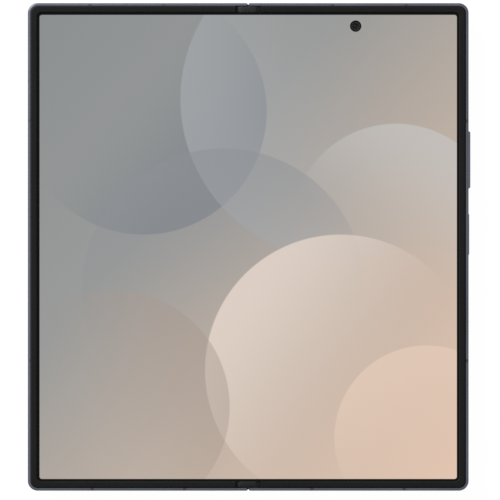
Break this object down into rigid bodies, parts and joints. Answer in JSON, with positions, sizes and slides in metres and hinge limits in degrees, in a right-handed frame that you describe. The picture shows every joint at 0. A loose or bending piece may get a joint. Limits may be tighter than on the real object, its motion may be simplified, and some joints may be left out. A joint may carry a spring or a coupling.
{
  "type": "foldable smartphone",
  "caption": "Book-style folding smartphone, opened flat, with a screen that bends over a geared hinge.",
  "frame": {"origin": "on the fold line, at mid height of the phone, level with the faces of the lens rings on the back", "axes": "+Z out of the inner screen, +Y to the top of the phone, +X to the half with the keys"},
  "size_m": [0.1438, 0.1584, 0.007],
  "materials": {
    "rim_metal": "fine blasted, anodised dark blue grey",
    "rim_plastic": "fine blasted to match the rim",
    "screen_border": "soft matt black",
    "screen": "clear film over a lit picture",
    "back_glass": "satin etched, dark blue grey",
    "cover_glass": "polished black",
    "cover_panel": "unlit",
    "lens_ring": "turned and anodised",
    "lens_glass": "coated, dark",
    "camera": "black",
    "flash": "ribbed, pale yellow",
    "hinge_steel": "bare",
    "gear_brass": "bare",
    "support_plate": "fine rolled",
    "screw": "dark zinc",
    "battery": "foil in a dark film",
    "circuit_board": "dark green solder mask",
    "shield_can": "tinned",
    "copper_coil": "enamelled copper",
    "socket_steel": "drawn steel",
    "module_plastic": "black",
    "flex_strip": "amber film"
  },
  "bodies": {
    "spine": {"hinge_cover": "rim_metal", "hinge_end_caps": "screen_border", "rail_blocks": "hinge_steel", "gear_side_plates": "hinge_steel", "gear_pins": "hinge_steel", "spine_plate": "support_plate", "screen_bend": "screen"},
    "right_half": {"frame_right": "rim_metal", "rim_breaks_right": "rim_plastic", "screen_border_right": "screen_border", "fold_seals_right": "screen_border", "screen_right": "screen", "rail_brackets_right": "hinge_steel", "bracket_screws_right": "screw", "back_glass": "back_glass", "camera_island": "rim_metal", "lens_rings": "lens_ring", "lens_glasses": "lens_glass", "camera_modules": "camera", "flash": "flash", "inner_camera": "camera", "battery_right": "battery", "main_board": "circuit_board", "board_shields": "shield_can", "charging_coil": "copper_coil", "charging_socket": "socket_steel", "socket_board": "circuit_board", "speaker_right": "module_plastic", "vibration_motor": "socket_steel", "key_switches": "flex_strip"},
    "left_half": {"frame_left": "rim_metal", "rim_breaks_left": "rim_plastic", "screen_border_left": "screen_border", "fold_seals_left": "screen_border", "screen_left": "screen", "rail_brackets_left": "hinge_steel", "bracket_screws_left": "screw", "cover_glass": "cover_glass", "cover_panel": "cover_panel", "cover_camera": "camera", "battery_left": "battery", "sub_board": "circuit_board", "speaker_left": "module_plastic", "earpiece": "module_plastic", "tray_guide": "hinge_steel"},
    "right_gear_arms": {"gear_arms_right": "hinge_steel"},
    "left_gear_arms": {"gear_arms_left": "hinge_steel"},
    "right_idlers": {"idler_gears_right": "gear_brass"},
    "left_idlers": {"idler_gears_left": "gear_brass"},
    "right_wing": {"wing_plate_right": "support_plate"},
    "left_wing": {"wing_plate_left": "support_plate"},
    "volume_key": {"volume_key": "rim_metal"},
    "side_key": {"side_key": "rim_metal"},
    "card_tray": {"card_tray": "rim_metal"}
  },
  "joints": [
    {"name": "right_fold", "type": "hinge", "parent": "spine", "child": "right_half", "pos_m": [0.00145, 0, 0.0058], "axis": [0, -1, 0], "range_deg": [0, 90], "deforming": ["screen_bend"]},
    {"name": "left_fold", "type": "hinge", "parent": "spine", "child": "left_half", "pos_m": [-0.00145, 0, 0.0058], "axis": [0, 1, 0], "range_deg": [0, 90]},
    {"name": "right_arm_turn", "type": "hinge", "parent": "spine", "child": "right_gear_arms", "pos_m": [0.0021, 0, 0.0049], "axis": [0, -1, 0], "range_deg": [0, 90]},
    {"name": "left_arm_turn", "type": "hinge", "parent": "spine", "child": "left_gear_arms", "pos_m": [-0.0021, 0, 0.0049], "axis": [0, 1, 0], "range_deg": [0, 90]},
    {"name": "right_idler_turn", "type": "hinge", "parent": "spine", "child": "right_idlers", "pos_m": [0.0007, 0, 0.0049], "axis": [0, 1, 0], "range_deg": [0, 90]},
    {"name": "left_idler_turn", "type": "hinge", "parent": "spine", "child": "left_idlers", "pos_m": [-0.0007, 0, 0.0049], "axis": [0, -1, 0], "range_deg": [0, 90]},
    {"name": "right_wing_tilt", "type": "hinge", "parent": "right_half", "child": "right_wing", "pos_m": [0.009, 0, 0.006], "axis": [0, -1, 0], "range_deg": [0, 9]},
    {"name": "left_wing_tilt", "type": "hinge", "parent": "left_half", "child": "left_wing", "pos_m": [-0.009, 0, 0.006], "axis": [0, 1, 0], "range_deg": [0, 9]},
    {"name": "volume_press", "type": "slide", "parent": "right_half", "child": "volume_key", "axis": [-1, 0, 0], "range_m": [0, 0.00025], "stiffness_N_per_m": 6000, "springref_m": -0.0001},
    {"name": "side_press", "type": "slide", "parent": "right_half", "child": "side_key", "axis": [-1, 0, 0], "range_m": [0, 0.0002], "stiffness_N_per_m": 6000, "springref_m": -0.0001},
    {"name": "tray_slide", "type": "slide", "parent": "left_half", "child": "card_tray", "axis": [0, -1, 0], "range_m": [0, 0.02]}
  ],
  "couplings": [
    {"joint": "left_fold", "follows": "right_fold", "ratio": 1},
    {"joint": "right_arm_turn", "follows": "right_fold", "ratio": 1},
    {"joint": "left_arm_turn", "follows": "right_fold", "ratio": 1},
    {"joint": "right_idler_turn", "follows": "right_fold", "ratio": 1},
    {"joint": "left_idler_turn", "follows": "right_fold", "ratio": 1},
    {"joint": "right_wing_tilt", "follows": "right_fold", "ratio": 0.1},
    {"joint": "left_wing_tilt", "follows": "right_fold", "ratio": 0.1}
  ]
}
